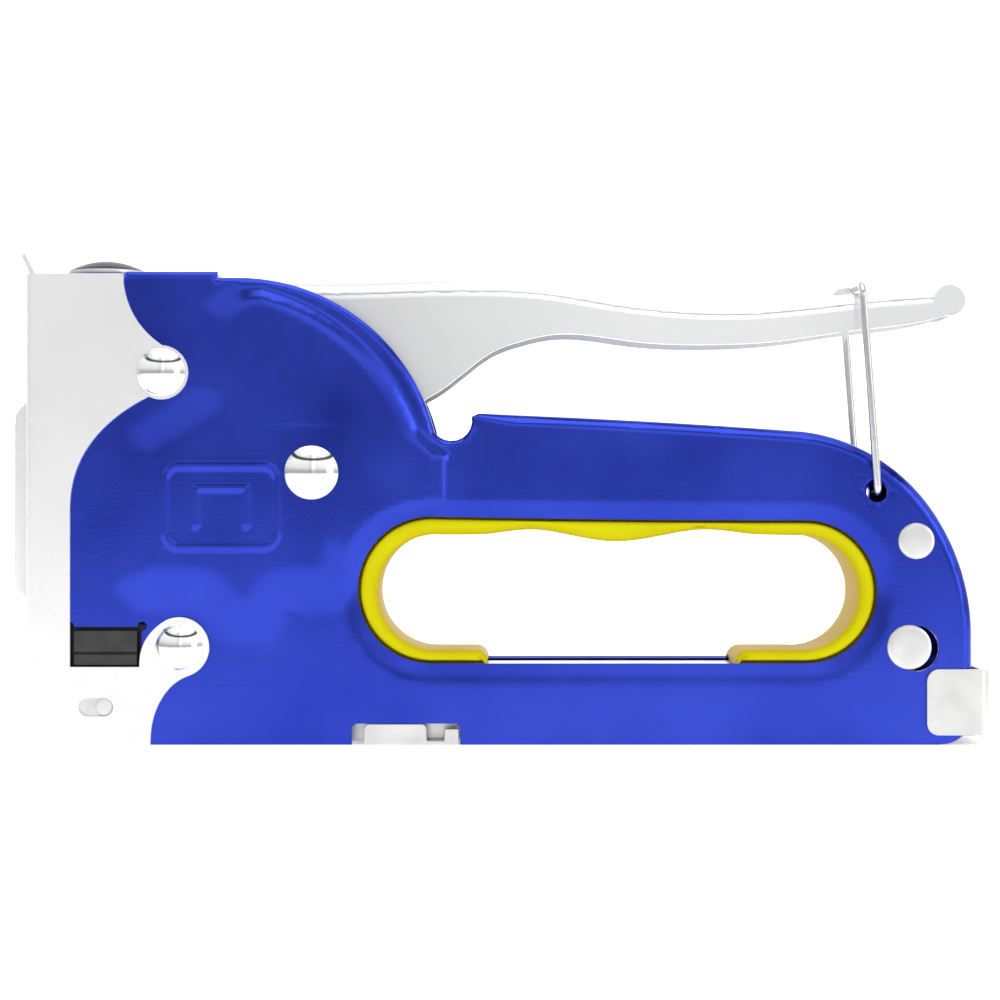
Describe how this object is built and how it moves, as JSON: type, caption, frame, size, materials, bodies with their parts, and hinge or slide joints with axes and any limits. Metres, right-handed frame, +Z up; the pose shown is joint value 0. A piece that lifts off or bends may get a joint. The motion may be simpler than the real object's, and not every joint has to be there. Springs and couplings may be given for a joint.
{
  "type": "staple gun",
  "caption": "Hand staple gun with a steel body, squeeze lever, wire bail latch, finger insert and a magazine that pulls out at the rear.",
  "frame": {"origin": "under the middle of the object, on the surface it stands on", "axes": "+X towards the back of the tool, -X towards the nose, +Z up, Y across the body"},
  "size_m": [0.1808, 0.029, 0.0905],
  "materials": {
    "blue_paint": "gloss metallic enamel",
    "bright_plating": "polished",
    "zinc_plating": "satin",
    "bare_steel": "oiled",
    "dark_steel": "blackened",
    "spring_steel": "drawn wire",
    "spring_wire": "plated wire",
    "black_rubber": "matte",
    "yellow_plastic": "gloss"
  },
  "bodies": {
    "frame": {"left_shell": "blue_paint", "right_shell": "blue_paint", "nose_plate": "bright_plating", "pivot_bush": "bare_steel", "lever_pivot": "bright_plating", "lever_return_spring": "spring_steel", "upper_nose_rivet": "bright_plating", "lower_nose_rivet": "bright_plating", "rear_upper_rivet": "zinc_plating", "rear_lower_rivet": "zinc_plating", "upper_nose_spacer": "bare_steel", "lower_nose_spacer": "bare_steel", "rear_upper_spacer": "bare_steel", "rear_lower_spacer": "bare_steel", "spring_bridge": "bare_steel", "screw_washer": "zinc_plating", "spring_seat": "bare_steel", "drive_spring": "spring_steel", "striker_bumper": "black_rubber", "magazine_channel": "zinc_plating", "bottom_strap": "zinc_plating", "grip_liner": "yellow_plastic"},
    "lever": {"lever": "bright_plating", "lift_arm": "bare_steel", "arm_pin": "bare_steel"},
    "striker": {"striker_carrier": "bare_steel", "striker_blade": "bare_steel"},
    "bail": {"bail": "spring_wire"},
    "screw": {"tension_screw": "dark_steel"},
    "magazine": {"magazine_rail": "zinc_plating", "guide_rod": "bare_steel", "rear_clip": "zinc_plating", "pusher_spring": "spring_steel"},
    "pusher": {"pusher": "bare_steel"}
  },
  "joints": [
    {"name": "lever_squeeze", "type": "hinge", "parent": "frame", "child": "lever", "pos_m": [-0.03415, 0, 0.0498], "axis": [0, 1, 0], "range_deg": [0, 10.4], "stiffness_Nm_per_rad": 4, "springref_deg": -14.9, "deforming": ["lever_return_spring"]},
    {"name": "striker_lift", "type": "slide", "parent": "frame", "child": "striker", "axis": [0, 0, 1], "range_m": [0, 0.00949], "deforming": ["drive_spring"]},
    {"name": "bail_swing", "type": "hinge", "parent": "frame", "child": "bail", "pos_m": [0.06924, 0, 0.0463], "axis": [0, 1, 0], "range_deg": [0, 112]},
    {"name": "screw_turn", "type": "hinge", "parent": "frame", "child": "screw", "pos_m": [-0.0735, 0, 0.08], "axis": [0, 0, 1], "range_deg": [0, 720]},
    {"name": "magazine_slide", "type": "slide", "parent": "frame", "child": "magazine", "axis": [1, 0, 0], "range_m": [0, 0.15]},
    {"name": "pusher_slide", "type": "slide", "parent": "magazine", "child": "pusher", "axis": [1, 0, 0], "range_m": [0, 0.138], "stiffness_N_per_m": 12, "springref_m": -0.1, "deforming": ["pusher_spring"]}
  ],
  "couplings": [
    {"joint": "striker_lift", "follows": "lever_squeeze", "m_per_rad": 0.0522},
    {"joint": "bail_swing", "follows": "lever_squeeze", "ratio": 10.758}
  ]
}
